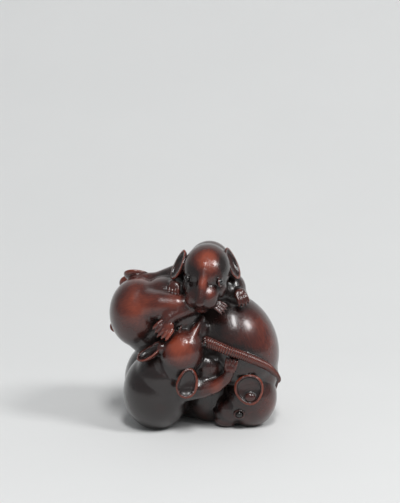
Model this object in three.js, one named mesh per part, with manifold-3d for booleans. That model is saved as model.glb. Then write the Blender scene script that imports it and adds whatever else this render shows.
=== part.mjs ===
// A netsuke: a huddle of four rats carved from one block of stained boxwood, with black horn eyes.
// Millimetres, +Z up, the front toward -Y. The finished part stands on z = 0, centred on the origin.
import * as THREE from "three";
import { edgeTable, triTable } from "three/addons/objects/MarchingCubes.js";
import { mergeVertices } from "three/addons/utils/BufferGeometryUtils.js";
import Module from "manifold-3d";

const wasm = await Module();
wasm.setup();

// Driving dimensions
const blockWidth = 80; // wider than the carving, for the saw cut under it
const bodyFacet = 2.9; // spacing of the facets that follow a rounded body
const faceFacet = 1.66; // the same on a head, which is crisper
const facetAllowance = 0.12; // a form is grown by this, because a flat facet cuts inside the round form
const fleshBlend = 1.8; // how softly the forms of one body flow together
const faceBlend = 0.8;
const restTrim = 6; // depth of what is sawn away under the flat underside
const earDepth = 1.5;
const earWall = 0.7;
const earLift = 0.8; // how far an ear's hollow is opened above its rim
const earSides = 9;
const pawThickness = 1.0;
const eyeRadius = 0.72;
const eyeClearance = 0.13; // left round an inlaid eye
const limbSteps = 4;
const limbSides = 6;
const limbShoulder = 0.7; // a limb's round end: the part of its radius where the one facet breaks
const tailSides = 5;
const ringWaist = 0.84; // the narrow end of a tail's ring, against its wide end
const cordHoleRadius = 3.1;
const cordHoleMeeting = [-1.5, 6.0, 6.6]; // where the two cord holes meet inside the base
const cordHoleReach = 22; // long enough to leave the wood
const cordHoleSides = 12;
const cordHoleOverlap = 0.6; // how far each hole runs past their meeting, in radii

// The forms of a head, along (forward, left, up) from the middle of the skull, before scaling
const headForms = [
  { at: [0, 0, 0], size: [5.4, 4.5, 4.4] }, // skull
  { at: [2.6, 2.2, -1.8], size: [2.8, 2.0, 2.4], paired: true }, // cheeks
  { at: [6.5, 1.25, -1.9], size: [1.9, 1.5, 1.5], paired: true }, // whisker pads
  { at: [2.6, 2.6, 1.0], size: [1.9, 1.0, 0.9], paired: true }, // brows
  { at: [4.6, 0, -1.4], size: [4.2, 2.9, 2.6] }, // muzzle
  { at: [5.0, 0, -3.4], size: [2.9, 2.1, 1.6] }, // lower jaw
  { at: [8.4, 0, -0.9], size: [0.75, 0.85, 0.7] }, // nose
  { at: [-2.6, 0, -1.0], size: [4.6, 4.2, 4.2] }, // nape
];
const noseBridge = [
  { at: [2.0, 0, 2.2], r: 1.7 },
  { at: [5.6, 0, 0.6], r: 1.0 },
  { at: [8.1, 0, -0.6], r: 0.75 },
];
const eyeSeat = [3.0, 3.45, 0.75]; // the left eye, in the same directions

// The rat on top, looking out at the viewer, its back falling away behind
const topRat = {
  heads: [{ at: [2.3, -5.0, 33.4], forward: [-0.16, -0.85, -0.5], up: [0, -0.5, 0.86], scale: 1.1 }],
  masses: [
    { at: [3.0, 1.5, 28.6], size: [6.4, 6.6, 6.2] }, // neck and shoulders
    { at: [3.5, 7.0, 22.5], size: [8.0, 7.2, 9.0] }, // back
    { at: [2.5, 8.0, 12.5], size: [7.6, 7.4, 8.6] }, // rump
    { at: [9.4, 8.0, 8.4], size: [4.2, 5.6, 6.0] }, // right haunch
    { at: [7.2, -1.0, 28.2], size: [3.4, 3.6, 3.8] }, // left shoulder
    { at: [1.0, 4.5, 5.6], size: [9.0, 8.0, 6.4] }, // belly, down to the base
    { at: [3.2, 0.0, 6.0], size: [6.0, 5.4, 6.4] },
    { at: [0.0, 2.0, 15.0], size: [9.0, 8.6, 12.0] }, // the heart of the block
  ],
  limbs: [
    [{ at: [7.0, -2.5, 28.0], r: 2.4 }, { at: [9.0, -4.2, 27.0], r: 1.6 }, { at: [9.3, -5.0, 28.3], r: 1.3 }],
    [{ at: [0.5, -3.0, 28.0], r: 2.2 }, { at: [-2.5, -4.2, 28.5], r: 1.7 }, { at: [-4.6, -5.2, 30.3], r: 1.2 }],
    [{ at: [11.0, 6.0, 3.0], r: 1.9 }, { at: [13.0, 3.2, 1.2], r: 1.3 }],
  ],
};

// The rat at the lower left, seen from above with its nose pushed up under the others
const lowRat = {
  heads: [{ at: [-2.7, -9.3, 16.8], forward: [0.48, 0.15, 0.86], up: [0, -0.98, 0.21], scale: 0.97 }],
  masses: [
    { at: [-8.2, -5.0, 7.6], size: [7.0, 7.6, 8.1] }, // chest and belly
    { at: [-6.8, -7.0, 11.3], size: [6.0, 5.6, 5.6] }, // neck
    { at: [-7.8, 3.0, 8.0], size: [7.4, 8.0, 8.4] }, // rump
    { at: [1.6, -7.8, 11.1], size: [2.3, 2.2, 2.2] }, // shoulder under the chin
    { at: [-7.0, -9.4, 17.9], size: [2.2, 1.8, 1.6] }, // root of the left ear
    { at: [-7.6, -1.6, 15.2], size: [4.6, 4.6, 3.6] }, // where the two left rats press together
  ],
  limbs: [
    [
      { at: [-2.5, -8.5, 9.2], r: 3.0 },
      { at: [1.2, -9.2, 9.1], r: 2.0 },
      { at: [4.2, -10.0, 10.0], r: 1.5 },
      { at: [6.4, -10.6, 11.8], r: 1.2 },
      { at: [7.0, -10.9, 13.3], r: 1.1 },
    ],
    [{ at: [-11.4, 9.0, 3.6], r: 2.2 }, { at: [-12.2, 6.6, 1.7], r: 1.5 }],
  ],
};

// The rat on the right, curled round with its head down at the lower right
const rightRat = {
  heads: [],
  masses: [
    { at: [9.2, -1.5, 17.1], size: [10.6, 8.6, 7.7], along: [-0.4, 0.19, 0.9] }, // back and flank
    { at: [4.6, -3.0, 18.8], size: [5.6, 5.2, 6.2] }, // rump
    { at: [12.0, -1.8, 10.6], size: [5.4, 5.8, 5.6] }, // neck
  ],
  limbs: [],
  face: [
    { at: [11.4, -3.4, 6.0], size: [5.7, 5.9, 6.5] }, // skull
    { at: [7.6, -4.6, 3.9], size: [3.4, 3.6, 3.4] }, // muzzle
    { at: [5.6, -4.8, 2.9], size: [1.9, 1.9, 2.0] }, // whisker pads
    { at: [6.5, -5.2, 1.6], size: [2.6, 2.0, 1.7] }, // lower jaw
    { at: [4.5, -5.0, 3.3], size: [0.9, 1.0, 0.9] }, // nose
    { at: [15.2, 0.0, 7.4], size: [2.0, 2.2, 2.8] }, // root of the far ear
  ],
};

// The rat at the upper left, its haunch and hind leg to the front, its head lying on the others' backs behind
const leftRat = {
  heads: [{ at: [-8.5, 9.8, 24.9], forward: [0.57, 0.76, -0.3], up: [-0.3, 0.2, 0.93], scale: 0.97 }],
  masses: [
    { at: [-12.2, -2.4, 23.7], size: [5.9, 7.0, 7.2] }, // haunch
    { at: [-10.0, -2.0, 20.2], size: [5.2, 6.0, 5.4] }, // flank
    { at: [-9.6, 2.6, 22.6], size: [7.2, 6.4, 7.6] }, // back
    { at: [-9.0, 6.4, 19.6], size: [6.6, 5.2, 6.4] }, // chest
  ],
  limbs: [
    [
      { at: [-11.0, -5.0, 25.6], r: 4.0 },
      { at: [-7.2, -7.6, 26.0], r: 2.7 },
      { at: [-3.6, -8.6, 27.0], r: 1.9 },
      { at: [-0.5, -8.0, 27.1], r: 1.7 },
    ],
    [{ at: [0.3, -8.2, 26.3], r: 1.2 }, { at: [-3.0, -9.4, 25.4], r: 1.3 }, { at: [-5.6, -9.9, 24.3], r: 1.4 }],
    [{ at: [-5.6, -9.9, 24.3], r: 1.4 }, { at: [-6.2, -10.1, 22.7], r: 1.5 }],
    [{ at: [-12.5, 1.0, 29.0], r: 2.2 }, { at: [-8.0, 1.0, 29.4], r: 2.1 }, { at: [-4.0, 0.5, 30.6], r: 2.6 }],
    [{ at: [-5.0, 9.5, 21.0], r: 2.4 }, { at: [-2.5, 13.0, 19.2], r: 1.6 }, { at: [0.2, 14.0, 18.6], r: 1.2 }],
  ],
};

const rats = [topRat, lowRat, rightRat, leftRat];

// Cupped ears: the middle of the rim, the way from root to tip, the way the cup opens
const ears = [
  { at: [7.7, -4.0, 34.5], along: [0.35, -0.34, -0.88], opens: [0.71, -0.61, 0.34], length: 6.9, width: 4.4 },
  { at: [-3.7, -4.0, 34.2], along: [-0.38, -0.34, -0.86], opens: [-0.74, -0.58, 0.33], length: 6.7, width: 4.4 },
  { at: [-9.6, -10.3, 17.3], along: [-0.84, -0.21, -0.51], opens: [-0.47, -0.37, 0.8], length: 6.0, width: 3.8 },
  { at: [-1.7, -13.4, 11.5], along: [-0.22, -0.2, -0.95], opens: [0.3, -0.92, 0.25], length: 6.3, width: 4.6 },
  { at: [11.1, -9.9, 9.1], along: [-0.2, 0.11, 0.97], opens: [-0.05, -0.93, 0.35], length: 6.4, width: 6.0 },
  { at: [16.4, -0.3, 8.5], along: [0.1, 0.21, 0.97], opens: [0.89, 0.46, 0.0], length: 5.4, width: 4.6 },
  { at: [-12.4, 2.6, 30.7], along: [-1.0, 0.01, 0.05], opens: [-0.05, 0.62, 0.78], length: 5.6, width: 4.2 },
  { at: [-13.8, 9.4, 27.0], along: [-0.8, -0.2, 0.4], opens: [-0.1, 0.9, 0.4], length: 5.4, width: 4.0 },
];

// Paws: the wrist, the way the fingers point, the way the back of the paw faces
const paws = [
  { at: [4.0, -9.6, 27.2], points: [0.82, -0.22, -0.53], back: [0.1, -0.87, 0.49], scale: 0.85, fingers: 4 },
  { at: [9.0, -5.6, 28.7], points: [0.35, -0.29, -0.89], back: [0.41, -0.78, 0.48], scale: 1.0, fingers: 4 },
  { at: [-4.4, -6.0, 30.5], points: [-0.05, -0.4, -0.92], back: [-0.31, -0.87, 0.39], scale: 0.95, fingers: 4 },
  { at: [7.0, -11.2, 13.5], points: [0.22, 0.2, 0.95], back: [-0.1, -0.97, 0.21], scale: 0.95, fingers: 4 },
  { at: [-5.5, -10.7, 23.3], points: [-0.66, -0.16, -0.73], back: [-0.1, -0.95, 0.3], scale: 1.15, fingers: 5 },
  { at: [0.4, 14.2, 18.8], points: [0.85, 0.1, -0.5], back: [0.1, 0.95, 0.3], scale: 1.0, fingers: 4 },
  { at: [13.2, 3.0, 1.3], points: [0.3, -0.95, -0.05], back: [0.3, 0, 0.95], scale: 1.1, fingers: 4 },
  { at: [-12.3, 6.4, 1.5], points: [-0.35, -0.92, -0.05], back: [-0.3, 0, 0.95], scale: 1.1, fingers: 4 },
];

// Tails: points on the middle line from root to tip, with the radius at each end
const tails = [
  {
    route: [[2.0, -9.0, 19.1], [3.9, -10.2, 18.7], [6.6, -11.2, 17.8], [9.9, -10.6, 16.5], [12.9, -9.2, 14.9],
      [15.1, -6.9, 13.1], [16.6, -3.8, 10.8], [17.3, -0.5, 8.7], [16.4, 4.5, 7.4]],
    thick: 1.1, thin: 0.5, rings: 14,
  },
  {
    route: [[5.0, 14.6, 9.0], [1.5, 15.6, 12.6], [-3.5, 14.0, 13.8], [-8.5, 11.6, 12.2], [-12.6, 9.0, 9.4]],
    thick: 1.2, thin: 0.55, rings: 8,
  },
  {
    route: [[-17.0, 2.0, 19.6], [-16.6, 6.0, 18.6], [-14.4, 9.6, 17.8], [-10.6, 12.6, 17.4]],
    thick: 1.1, thin: 0.55, rings: 6,
  },
];

// The bead eyes that no head form places: the two of the rat on the right
const rightEyes = [
  { name: "eye_right_rat_near", at: [9.1, -8.7, 3.6] },
  { name: "eye_right_rat_far", at: [12.4, 1.6, 2.6] },
];

const boxwood = new THREE.MeshStandardMaterial({ color: 0x5a2418, roughness: 0.35, metalness: 0 });
const blackHorn = new THREE.MeshStandardMaterial({ color: 0x0a0a0b, roughness: 0.1, metalness: 0 });

const vector = (list) => new THREE.Vector3(...list);

// A turn and place whose X runs along one direction and whose Z is as near as it can be to another.
function frameAt(at, along, toward) {
  const x = vector(along).normalize();
  const z = vector(toward).addScaledVector(x, -vector(toward).dot(x)).normalize();
  return new THREE.Matrix4().makeBasis(x, z.clone().cross(x), z).setPosition(...at);
}

function placedForm(form, matrix, scale) {
  const place = matrix.clone().multiply(new THREE.Matrix4().makeTranslation(...form.at.map((v) => v * scale)));
  const centre = new THREE.Vector3().setFromMatrixPosition(place);
  return { centre, inverse: place.invert(), size: vector(form.size).multiplyScalar(scale) };
}

function headFrame(head) {
  return frameAt(head.at, head.forward, head.up);
}

const mirrored = (form) => ({ ...form, at: [form.at[0], -form.at[1], form.at[2]] });

function formsOfHead(head) {
  const frame = headFrame(head);
  const all = headForms.flatMap((form) => (form.paired ? [form, mirrored(form)] : [form]));
  const stations = noseBridge.map(({ at, r }) => ({
    at: vector(at).multiplyScalar(head.scale).applyMatrix4(frame),
    r: r * head.scale,
  }));
  return { ellipsoids: all.map((form) => placedForm(form, frame, head.scale)), chains: [stations] };
}

function formsOf(masses) {
  const ellipsoids = masses.map((mass) => {
    const frame = frameAt(mass.at, mass.along ?? [1, 0, 0], [0, 0, 1]);
    return { centre: vector(mass.at), inverse: frame.invert(), size: vector(mass.size) };
  });
  return { ellipsoids, chains: [] };
}

const local = new THREE.Vector3();

// About how far a point is outside an ellipsoid, less than zero inside.
function outsideEllipsoid(point, { inverse, size }) {
  local.copy(point).applyMatrix4(inverse).divide(size);
  const reach = local.length();
  const slope = local.divide(size).length();
  return slope > 0 ? (reach * (reach - 1)) / slope : -size.x;
}

// The same for a chain of round stations joined by tapering limbs.
function outsideChain(point, stations) {
  let nearest = Infinity;
  for (let i = 1; i < stations.length; i++) {
    const [a, b] = [stations[i - 1], stations[i]];
    const axis = b.at.clone().sub(a.at);
    const share = THREE.MathUtils.clamp(local.copy(point).sub(a.at).dot(axis) / axis.lengthSq(), 0, 1);
    const middle = local.copy(a.at).addScaledVector(axis, share);
    nearest = Math.min(nearest, middle.distanceTo(point) - THREE.MathUtils.lerp(a.r, b.r, share));
  }
  return nearest;
}

function softMin(a, b, blend) {
  const overlap = Math.max(blend - Math.abs(a - b), 0) / blend;
  return Math.min(a, b) - (overlap * overlap * blend) / 4;
}

function outsideForms(point, { ellipsoids, chains }, blend) {
  const each = [
    ...ellipsoids.map((form) => outsideEllipsoid(point, form)),
    ...chains.map((stations) => outsideChain(point, stations)),
  ];
  return each.reduce((total, next) => softMin(total, next, blend), Infinity) - facetAllowance;
}

// The block that holds all the given forms.
function boundsOf({ ellipsoids, chains }, margin) {
  const box = new THREE.Box3();
  const reach = new THREE.Vector3();
  const include = (centre, radius) => {
    box.union(new THREE.Box3().setFromCenterAndSize(centre, reach.setScalar(2 * (radius + margin))));
  };
  for (const { centre, size } of ellipsoids) include(centre, Math.max(size.x, size.y, size.z));
  for (const { at, r } of chains.flat()) include(at, r);
  return box;
}

// Corners and edges of one cell, in the order that the tables of MarchingCubes.js count them
const cellCorners = [[0, 0, 0], [1, 0, 0], [1, 1, 0], [0, 1, 0], [0, 0, 1], [1, 0, 1], [1, 1, 1], [0, 1, 1]];
const cellEdges = [[0, 1], [1, 2], [3, 2], [0, 3], [4, 5], [5, 6], [7, 6], [4, 7], [0, 4], [1, 5], [2, 6], [3, 7]];
const tableRow = 16; // entries of triTable for one kind of cell
const edgeMargin = 0.08; // keeps a facet's corner off the corners of its cell, so that no sliver is made

// The faceted skin round a set of blended forms, as one closed indexed geometry.
function surfaceOf(forms, blend, spacing) {
  const { min: low, max: high } = boundsOf(forms, spacing);
  const counts = high.clone().sub(low).divideScalar(spacing).ceil();
  const [across, deep] = [counts.x + 1, counts.y + 1];
  const gridIndex = (i, j, k) => (k * deep + j) * across + i;
  const pointAt = (i, j, k) => new THREE.Vector3(i, j, k).multiplyScalar(spacing).add(low);
  const values = new Float32Array(across * deep * (counts.z + 1));
  for (let k = 0; k <= counts.z; k++)
    for (let j = 0; j <= counts.y; j++)
      for (let i = 0; i <= counts.x; i++) values[gridIndex(i, j, k)] = outsideForms(pointAt(i, j, k), forms, blend);

  const positions = [];
  const index = [];
  const made = new Map();
  function vertexOn(corners, edge) {
    const [a, b] = cellEdges[edge].map((corner) => corners[corner]);
    const key = `${a.index}_${b.index}`;
    if (!made.has(key)) {
      const crossing = values[a.index] / (values[a.index] - values[b.index]);
      const share = THREE.MathUtils.clamp(crossing, edgeMargin, 1 - edgeMargin);
      made.set(key, positions.length / 3);
      positions.push(...pointAt(...a.cell).lerp(pointAt(...b.cell), share).toArray());
    }
    return made.get(key);
  }
  for (let k = 0; k < counts.z; k++)
    for (let j = 0; j < counts.y; j++)
      for (let i = 0; i < counts.x; i++) {
        const corners = cellCorners.map(([di, dj, dk]) => {
          const cell = [i + di, j + dj, k + dk];
          return { cell, index: gridIndex(...cell) };
        });
        const kind = corners.reduce((bits, { index: at }, bit) => bits | (values[at] > 0 ? 1 << bit : 0), 0);
        if (edgeTable[kind] === 0) continue;
        for (let t = kind * tableRow; triTable[t] !== -1; t++) index.push(vertexOn(corners, triTable[t]));
      }
  const geometry = new THREE.BufferGeometry();
  geometry.setAttribute("position", new THREE.Float32BufferAttribute(positions, 3));
  return geometry.setIndex(index);
}

// A closed geometry as a manifold-3d solid.
function solidOf(geometry) {
  const bare = geometry.clone();
  bare.deleteAttribute("normal");
  bare.deleteAttribute("uv");
  const merged = mergeVertices(bare);
  const triVerts = new Uint32Array(merged.index.array);
  const vertProperties = new Float32Array(merged.attributes.position.array);
  return new wasm.Manifold(new wasm.Mesh({ numProp: 3, vertProperties, triVerts }));
}

function geometryOf(solid) {
  const { vertProperties, triVerts } = solid.getMesh();
  const geometry = new THREE.BufferGeometry();
  geometry.setAttribute("position", new THREE.BufferAttribute(vertProperties, 3));
  return geometry.setIndex(new THREE.BufferAttribute(triVerts, 1));
}

const placedSolid = (geometry, matrix) => solidOf(geometry.clone().applyMatrix4(matrix));

// Half of an ellipsoid below z = 0, raised straight by a lift above it.
function bowlGeometry(length, width, depth, lift) {
  const profile = [];
  const steps = 3;
  for (let i = 0; i <= steps; i++) {
    const angle = (i / steps) * (Math.PI / 2);
    profile.push(new THREE.Vector2(Math.sin(angle), -Math.cos(angle) * depth));
  }
  if (lift > 0) profile.push(new THREE.Vector2(1, lift));
  profile.push(new THREE.Vector2(0, lift));
  const bowl = new THREE.LatheGeometry(profile, earSides);
  bowl.rotateX(Math.PI / 2);
  return bowl.scale(length / 2, width / 2, 1);
}

function addEar(wood, ear) {
  const frame = frameAt(ear.at, ear.along, ear.opens);
  const flap = placedSolid(bowlGeometry(ear.length, ear.width, earDepth, 0), frame);
  const [innerLength, innerWidth] = [ear.length - 2 * earWall, ear.width - 2 * earWall];
  const hollow = placedSolid(bowlGeometry(innerLength, innerWidth, earDepth - earWall, earLift), frame);
  return wood.add(flap).subtract(hollow);
}

// A round bar between two points.
function barBetween(start, end, radius, sides) {
  const bar = new THREE.CylinderGeometry(radius, radius, start.distanceTo(end), sides);
  const turn = new THREE.Quaternion().setFromUnitVectors(
    new THREE.Vector3(0, 1, 0),
    end.clone().sub(start).normalize(),
  );
  return bar.applyQuaternion(turn).translate(...start.clone().lerp(end, 0.5).toArray());
}

// A paw laid flat, cut out with its fingers spread like a fan. X runs along the fingers.
function pawOutline(fingers) {
  const outline = new THREE.Shape();
  const [heel, halfWrist] = [-0.8, 0.7];
  const [reach, shortening, halfClaw] = [3.2, 0.25, 0.15]; // the outer fingers are shorter
  const [fork, forkSpread, clawSpread] = [1.4, 0.78, 1.0];
  outline.moveTo(heel, -halfWrist);
  for (let finger = 0; finger < fingers; finger++) {
    const side = finger - (fingers - 1) / 2;
    const tip = reach - shortening * Math.abs(side);
    outline.lineTo(finger === 0 ? fork / 2 : fork, (side - 0.5) * forkSpread);
    outline.lineTo(tip, side * clawSpread - halfClaw);
    outline.lineTo(tip, side * clawSpread + halfClaw);
  }
  outline.lineTo(fork / 2, (fingers / 2) * forkSpread);
  outline.lineTo(heel, halfWrist);
  return outline;
}

function addPaw(wood, paw) {
  const flat = new THREE.ExtrudeGeometry(pawOutline(paw.fingers), { depth: pawThickness, bevelEnabled: false });
  flat.translate(0, 0, -pawThickness / 2).scale(paw.scale, paw.scale, paw.scale);
  return wood.add(placedSolid(flat, frameAt(paw.at, paw.points, paw.back)));
}

// A bar turned straight, ring by ring, and then bent along a path. Each ring has the step of the path that it
// belongs to, a radius, and how far it slides on past that step.
function bentBar(path, steps, rings, sides) {
  const profile = rings.map(({ radius }, order) => new THREE.Vector2(radius, order));
  const bar = new THREE.LatheGeometry(profile, sides);
  const { tangents, normals, binormals } = path.computeFrenetFrames(steps);
  const places = bar.attributes.position;
  for (let i = 0; i < places.count; i++) {
    const { step, slide = 0 } = rings[Math.round(places.getY(i))];
    const bent = path.getPointAt(step / steps).addScaledVector(tangents[step], slide);
    bent.addScaledVector(normals[step], places.getX(i)).addScaledVector(binormals[step], -places.getZ(i));
    places.setXYZ(i, ...bent);
  }
  return bar;
}

// A tail, with a step at each ring.
function tailGeometry({ route, thick, thin, rings }) {
  const turned = [{ step: 0, radius: 0 }];
  for (let ring = 0; ring < rings; ring++) {
    const radius = THREE.MathUtils.lerp(thick, thin, ring / rings);
    turned.push({ step: ring, radius }, { step: ring + 1, radius: radius * ringWaist });
  }
  turned.push({ step: rings, radius: 0 });
  return bentBar(new THREE.CatmullRomCurve3(route.map(vector)), rings, turned, tailSides);
}

// How thick a limb is at a share of its length, from the stations along it.
function limbRadius(limb, share) {
  const gaps = limb.slice(1).map(({ at }, i) => vector(at).distanceTo(vector(limb[i].at)));
  let left = share * gaps.reduce((sum, gap) => sum + gap, 0);
  let i = 0;
  while (i < gaps.length - 1 && left > gaps[i]) left -= gaps[i++];
  return THREE.MathUtils.lerp(limb[i].r, limb[i + 1].r, Math.min(1, left / gaps[i]));
}

// A limb with round ends.
function limbGeometry(limb) {
  const path = new THREE.CatmullRomCurve3(limb.map(({ at }) => vector(at)));
  const [first, last] = [limb[0].r, limb.at(-1).r];
  const turned = [
    { step: 0, slide: -first, radius: 0 },
    { step: 0, slide: -limbShoulder * first, radius: limbShoulder * first },
  ];
  for (let step = 0; step <= limbSteps; step++) turned.push({ step, radius: limbRadius(limb, step / limbSteps) });
  turned.push({ step: limbSteps, slide: limbShoulder * last, radius: limbShoulder * last });
  turned.push({ step: limbSteps, slide: last, radius: 0 });
  return bentBar(path, limbSteps, turned, limbSides);
}

// Every eye in the coordinates above: two on each head that has a frame, and those placed by hand.
function eyePlaces() {
  const owners = [["top", topRat], ["low", lowRat], ["left", leftRat]];
  const placed = owners.flatMap(([owner, rat]) => {
    const frame = headFrame(rat.heads[0]);
    return [["left", 1], ["right", -1]].map(([side, sign]) => {
      const seat = [eyeSeat[0], eyeSeat[1] * sign, eyeSeat[2]];
      const at = vector(seat).multiplyScalar(rat.heads[0].scale).applyMatrix4(frame);
      return { name: `eye_${owner}_rat_${side}`, at };
    });
  });
  return [...placed, ...rightEyes.map(({ name, at }) => ({ name, at: vector(at) }))];
}

const ball = (radius) => new THREE.SphereGeometry(radius, 6, 4);

function cutEyeSockets(wood, eyes) {
  const socket = ball(eyeRadius + eyeClearance);
  return eyes.reduce((carved, { at }) => carved.subtract(solidOf(socket.clone().translate(...at))), wood);
}

// The two cord holes, one up from the underside and one in from the back, that meet inside the base.
function cutCordHoles(wood) {
  const meeting = vector(cordHoleMeeting);
  const directions = [[0, 0, -1], [0, 1, 0]];
  return directions.reduce((carved, direction) => {
    const inner = meeting.clone().addScaledVector(vector(direction), -cordHoleRadius * cordHoleOverlap);
    const outer = meeting.clone().addScaledVector(vector(direction), cordHoleReach);
    return carved.subtract(solidOf(barBetween(inner, outer, cordHoleRadius, cordHoleSides)));
  }, wood);
}

// The wood is sawn off flat where the netsuke rests.
function cutUnderside(wood) {
  const waste = new THREE.BoxGeometry(blockWidth, blockWidth, restTrim);
  return wood.subtract(solidOf(waste.translate(0, 0, -restTrim / 2)));
}

function ratSolids(rat) {
  const body = surfaceOf(formsOf(rat.masses), fleshBlend, bodyFacet);
  const faces = rat.heads.map(formsOfHead);
  if (rat.face) faces.push(formsOf(rat.face));
  const skins = faces.map((face) => surfaceOf(face, faceBlend, faceFacet));
  return [body, ...skins, ...rat.limbs.map(limbGeometry)].map(solidOf);
}

function carve(eyes) {
  let wood = rats.flatMap(ratSolids).reduce((joined, solid) => joined.add(solid));
  wood = tails.reduce((joined, tail) => joined.add(solidOf(tailGeometry(tail))), wood);
  wood = paws.reduce(addPaw, wood);
  wood = ears.reduce(addEar, wood);
  wood = cutEyeSockets(wood, eyes);
  return cutUnderside(cutCordHoles(wood));
}

function namedMesh(name, geometry, material) {
  const mesh = new THREE.Mesh(geometry, material);
  mesh.name = name;
  return mesh;
}

const eyes = eyePlaces();
const carving = geometryOf(carve(eyes));
const group = new THREE.Group();
group.name = "netsuke";
group.add(namedMesh("rat_huddle", carving, boxwood));
for (const { name, at } of eyes) {
  const bead = namedMesh(name, ball(eyeRadius), blackHorn);
  bead.position.copy(at);
  group.add(bead);
}

carving.computeBoundingBox();
const middle = carving.boundingBox.getCenter(new THREE.Vector3());
group.position.set(-middle.x, -middle.y, -carving.boundingBox.min.z);

export default group;
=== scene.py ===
import math
import bmesh
import bpy
from mathutils import Matrix, Vector
from mathutils.bvhtree import BVHTree


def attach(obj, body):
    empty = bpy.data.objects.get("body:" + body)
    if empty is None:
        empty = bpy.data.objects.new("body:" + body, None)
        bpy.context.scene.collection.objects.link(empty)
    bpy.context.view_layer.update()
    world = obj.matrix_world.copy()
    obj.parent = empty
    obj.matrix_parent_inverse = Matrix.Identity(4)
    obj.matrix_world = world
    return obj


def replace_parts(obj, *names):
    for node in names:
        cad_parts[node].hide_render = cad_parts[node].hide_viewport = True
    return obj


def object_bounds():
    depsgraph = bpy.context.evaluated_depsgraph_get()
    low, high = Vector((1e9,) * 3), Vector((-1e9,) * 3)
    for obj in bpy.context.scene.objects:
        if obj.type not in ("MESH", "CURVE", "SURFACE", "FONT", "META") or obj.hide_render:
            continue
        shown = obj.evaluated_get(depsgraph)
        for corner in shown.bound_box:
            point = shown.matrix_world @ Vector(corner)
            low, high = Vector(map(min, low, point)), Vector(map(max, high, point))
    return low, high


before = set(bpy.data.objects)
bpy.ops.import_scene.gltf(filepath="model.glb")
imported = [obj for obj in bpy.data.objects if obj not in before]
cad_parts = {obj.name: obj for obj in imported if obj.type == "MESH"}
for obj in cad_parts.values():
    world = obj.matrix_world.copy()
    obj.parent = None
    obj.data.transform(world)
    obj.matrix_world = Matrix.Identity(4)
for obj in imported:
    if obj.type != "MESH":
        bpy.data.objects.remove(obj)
cadBox = [list(corner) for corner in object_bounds()]
print("frame loaded:", len(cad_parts), "nodes")

# Everything is modelled in millimetres, about the middle of the carver's block, and placed at the very end
carving = {
    "voxel": 0.21,     # fineness of the fused wood
    "fleshSoftness": 40,                       # smoothing passes on a body
    "faceSoftness": 5,                         # the same on a head, which is crisper
    "seamSoftness": 2,                         # and where the rats meet
    "mostFaces": 188000,
    "rays": 14,           # how finely the recesses are felt for
}


def axesOf(forward, up):
    ahead = Vector(forward).normalized()
    left = Vector(up).cross(ahead).normalized()
    return Matrix((ahead, left, ahead.cross(left))).transposed().to_4x4()


def placeOf(at, forward, up):
    return Matrix.Translation(at) @ axesOf(forward, up)


def addBlob(bm, centre, size, turn=None, rows=56):
    place = Matrix.Translation(centre) @ (turn or Matrix.Identity(4)) @ Matrix.Diagonal((*size, 1))
    bmesh.ops.create_uvsphere(bm, u_segments=rows, v_segments=rows // 2, radius=1, matrix=place)


def addLimb(bm, stations, rows=24):
    # round stations joined by tapering bars
    for i, (point, radius) in enumerate(stations):
        addBlob(bm, point, (radius,) * 3, rows=rows)
        if i == 0:
            continue
        before, radiusBefore = Vector(stations[i - 1][0]), stations[i - 1][1]
        way = Vector(point) - before
        turn = way.to_track_quat("Z", "Y").to_matrix().to_4x4()
        place = Matrix.Translation((before + Vector(point)) / 2) @ turn
        bmesh.ops.create_cone(bm, cap_ends=True, segments=rows, radius1=radiusBefore, radius2=radius,
                              depth=way.length, matrix=place)


def objectOf(bm, name):
    mesh = bpy.data.meshes.new(name)
    bm.to_mesh(mesh)
    bm.free()
    piece = bpy.data.objects.new(name, mesh)
    bpy.context.scene.collection.objects.link(piece)
    return piece


def applied(piece):
    shown = piece.evaluated_get(bpy.context.evaluated_depsgraph_get())
    mesh = bpy.data.meshes.new_from_object(shown)
    piece.modifiers.clear()
    old, piece.data = piece.data, mesh
    bpy.data.meshes.remove(old)
    return piece


def addSmoothing(piece, passes):
    smooth = piece.modifiers.new("soften", "SMOOTH")
    smooth.factor = 0.5
    smooth.iterations = passes


def fused(piece, voxel, passes):
    remesh = piece.modifiers.new("fuse", "REMESH")
    remesh.mode = "VOXEL"
    remesh.voxel_size = voxel
    if passes:
        addSmoothing(piece, passes)
    return applied(piece)


def joined(pieces, name):
    bm = bmesh.new()
    for piece in pieces:
        bm.from_mesh(piece.data)
        bpy.data.objects.remove(piece)
    return objectOf(bm, name)


def carved(piece, tool, operation):
    cut = piece.modifiers.new("carve", "BOOLEAN")
    cut.operation = operation
    cut.solver = "MANIFOLD"
    cut.object = tool
    applied(piece)
    bpy.data.objects.remove(tool)
    return piece


# The forms of a head, as (forward, left, up) from the middle of the skull; True puts one on each side
headShape = {
    "forms": [
        ((0, 0, 0), (5.4, 4.5, 4.4), False),            # skull
        ((2.6, 2.2, -1.8), (2.8, 2.0, 2.4), True),      # cheeks
        ((6.1, 1.35, -1.9), (2.0, 1.7, 1.55), True),     # whisker pads
        ((2.6, 2.6, 1.0), (1.9, 1.0, 0.9), True),       # brows
        ((4.4, 0, -1.4), (4.2, 3.3, 2.6), False),       # muzzle
        ((5.0, 0, -3.4), (2.9, 2.1, 1.6), False),       # lower jaw
        ((8.4, 0, -0.9), (0.75, 0.85, 0.7), False),     # nose
        ((-2.6, 0, -1.0), (4.6, 4.2, 4.2), False),      # nape
    ],
    "bridge": [((2.0, 0, 2.4), 1.7), ((5.4, 0, 1.1), 0.95), ((8.0, 0, -0.45), 0.7)],
    "eyeSeat": (4.0, 3.05, 0.9),
}

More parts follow.
